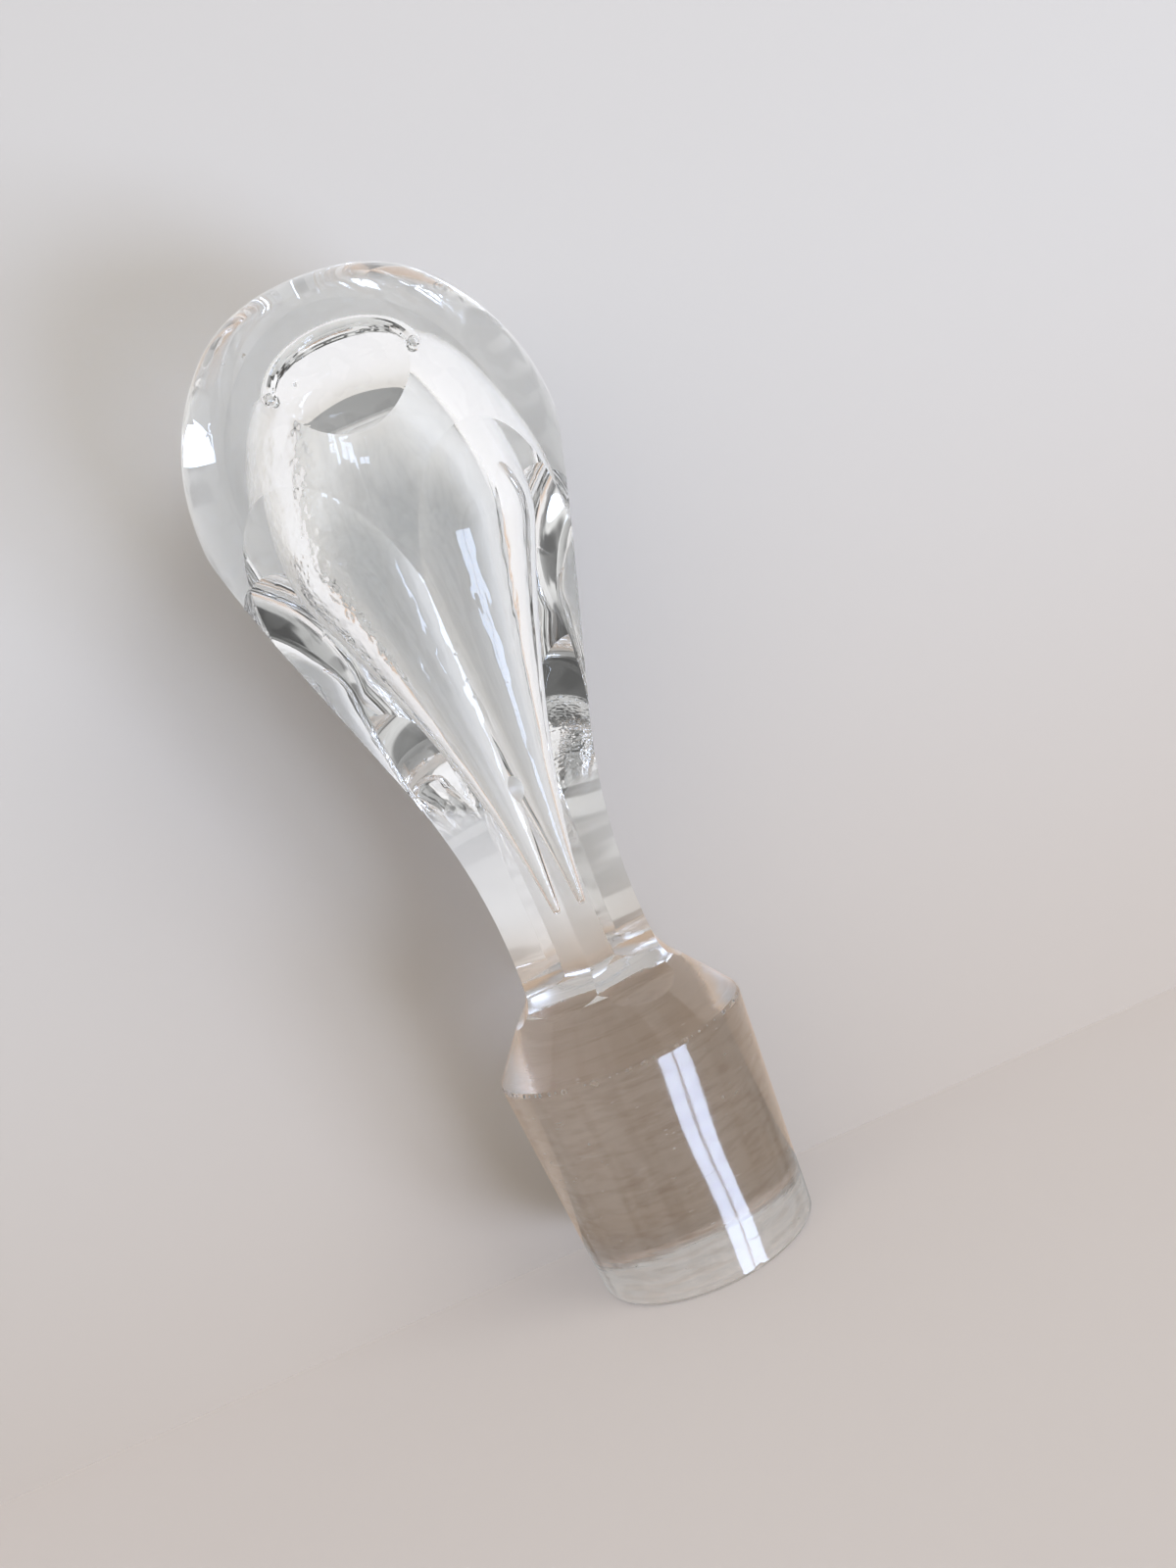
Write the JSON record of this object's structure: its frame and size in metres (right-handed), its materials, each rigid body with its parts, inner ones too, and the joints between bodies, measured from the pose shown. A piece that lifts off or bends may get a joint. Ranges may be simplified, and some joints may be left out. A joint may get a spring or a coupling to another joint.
{
  "type": "glass decanter stopper",
  "caption": "Clear glass stopper with a tapered ground plug, a sloping shoulder, a faceted neck and a round head that holds a closed teardrop bubble.",
  "frame": {"origin": "centre of the plug's flat foot, on the surface it stands on", "axes": "+Z along the stopper's axis from the plug's foot to the head; -Y along the ridge between two panels"},
  "size_m": [0.0339, 0.0338, 0.0948],
  "materials": {
    "glass": "clear polished glass, faintly grey, with small chips on the plug's edges and fine scratches on its sides"
  },
  "bodies": {
    "root": {"stopper": "glass"}
  },
  "joints": []
}
